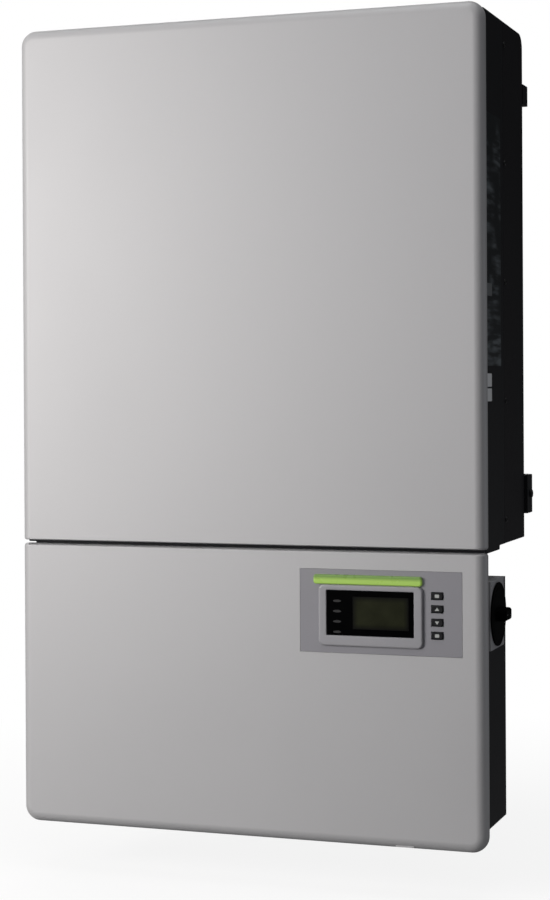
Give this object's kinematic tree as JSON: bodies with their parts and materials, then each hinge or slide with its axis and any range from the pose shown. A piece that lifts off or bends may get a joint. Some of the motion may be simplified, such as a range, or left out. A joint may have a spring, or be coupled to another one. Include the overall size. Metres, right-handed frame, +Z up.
{
  "type": "string inverter",
  "caption": "Wall-mounted solar string inverter: light cover on a near-black power unit, hinged lower wiring door with display and keys, side rotary disconnect, on a steel wall bracket.",
  "frame": {"origin": "centre of the wall bracket upper rail, on its back face, which lies on the wall", "axes": "+Z up; +Y into the wall; the front faces -Y; +X to the right as seen from the front"},
  "size_m": [0.6198, 0.2646, 1],
  "materials": {
    "light_coat": "satin powder coat, fine texture",
    "black_coat": "black powder coat on cast and folded aluminium",
    "galvanised_steel": "galvanised sheet",
    "screw_steel": "stainless",
    "bare_aluminium": "extruded, satin",
    "capacitor_can": "sleeved cans on a copper bus plate",
    "black_rubber": "matt foam rubber",
    "panel_film": "printed polyester film",
    "bezel_grey": "fine moulded texture",
    "smoked_window": "smoked, polished",
    "green_light": "translucent light guide",
    "display_glass": "dark olive liquid crystal",
    "key_black": "moulded",
    "plate_grey": "moulded",
    "plug_grey": "moulded",
    "knob_black": "moulded",
    "fan_black": "moulded",
    "board_green": "solder mask",
    "module_black": "moulded",
    "arrester_red": "moulded",
    "ground_brass": "bare"
  },
  "bodies": {
    "wall_bracket": {"bracket_upper_rail": "galvanised_steel", "bracket_lower_rail": "galvanised_steel", "bracket_upright_left": "galvanised_steel", "bracket_upright_right": "galvanised_steel"},
    "inverter": {"main_chassis": "black_coat", "rear_shroud": "black_coat", "main_cover": "light_coat", "main_gasket": "black_rubber", "heat_sink": "bare_aluminium", "upper_hanger_left": "black_coat", "upper_hanger_right": "black_coat", "lower_foot_left": "black_coat", "lower_foot_right": "black_coat", "security_screw_left": "black_coat", "security_screw_right": "black_coat", "fan_housing_left": "fan_black", "fan_housing_middle": "fan_black", "fan_housing_right": "fan_black", "fan_guard": "galvanised_steel", "power_module_a": "module_black", "power_module_b": "module_black", "power_module_c": "module_black", "power_board": "board_green", "control_board": "board_green", "link_capacitor_bank": "capacitor_can", "boost_choke_left": "bare_aluminium", "boost_choke_right": "bare_aluminium", "output_choke": "bare_aluminium", "bulkhead_neck": "black_coat", "wiring_box": "black_coat", "wiring_gasket": "black_rubber", "dc_conduit_plug": "plug_grey", "ac_conduit_plug": "plug_grey", "signal_gland": "plug_grey", "dc_fuse_block": "module_black", "surge_arresters": "arrester_red", "ac_terminal_block": "module_black", "ground_bar": "ground_brass", "communication_board": "board_green", "disconnect_body": "module_black", "disconnect_plate": "plate_grey", "hinge_leaf_box": "galvanised_steel", "hinge_pin": "screw_steel"},
    "door": {"wiring_door": "light_coat", "hinge_leaf_door": "galvanised_steel", "door_screw": "screw_steel", "keypad_overlay": "panel_film", "display_bezel": "bezel_grey", "display_window": "smoked_window", "status_light_bar": "green_light", "display_module": "display_glass", "display_board": "board_green"},
    "disconnect_rotor": {"disconnect_knob": "knob_black"},
    "fan_left": {"fan_rotor_left": "fan_black"},
    "fan_middle": {"fan_rotor_middle": "fan_black"},
    "fan_right": {"fan_rotor_right": "fan_black"},
    "key_1_body": {"key_1": "key_black"},
    "key_2_body": {"key_2": "key_black"},
    "key_3_body": {"key_3": "key_black"},
    "key_4_body": {"key_4": "key_black"}
  },
  "joints": [
    {"name": "lift_off", "type": "slide", "parent": "wall_bracket", "child": "inverter", "axis": [0, 0, 1], "range_m": [0, 0.035]},
    {"name": "door_hinge", "type": "hinge", "parent": "inverter", "child": "door", "pos_m": [-0.294, -0.235, -0.743], "axis": [0, 0, -1], "range_deg": [0, 110]},
    {"name": "disconnect_turn", "type": "hinge", "parent": "inverter", "child": "disconnect_rotor", "pos_m": [0.3015, -0.204, -0.6415], "axis": [1, 0, 0], "range_deg": [0, 90]},
    {"name": "fan_left_spin", "type": "hinge", "parent": "inverter", "child": "fan_left", "pos_m": [-0.13, -0.0885, -0.543], "axis": [0, 0, 1], "continuous": true},
    {"name": "fan_middle_spin", "type": "hinge", "parent": "inverter", "child": "fan_middle", "pos_m": [0, -0.0885, -0.543], "axis": [0, 0, 1], "continuous": true},
    {"name": "fan_right_spin", "type": "hinge", "parent": "inverter", "child": "fan_right", "pos_m": [0.13, -0.0885, -0.543], "axis": [0, 0, 1], "continuous": true},
    {"name": "key_1_press", "type": "slide", "parent": "door", "child": "key_1_body", "axis": [0, 1, 0], "range_m": [0, 0.0008], "stiffness_N_per_m": 600, "springref_m": -0.0008},
    {"name": "key_2_press", "type": "slide", "parent": "door", "child": "key_2_body", "axis": [0, 1, 0], "range_m": [0, 0.0008], "stiffness_N_per_m": 600, "springref_m": -0.0008},
    {"name": "key_3_press", "type": "slide", "parent": "door", "child": "key_3_body", "axis": [0, 1, 0], "range_m": [0, 0.0008], "stiffness_N_per_m": 600, "springref_m": -0.0008},
    {"name": "key_4_press", "type": "slide", "parent": "door", "child": "key_4_body", "axis": [0, 1, 0], "range_m": [0, 0.0008], "stiffness_N_per_m": 600, "springref_m": -0.0008}
  ]
}
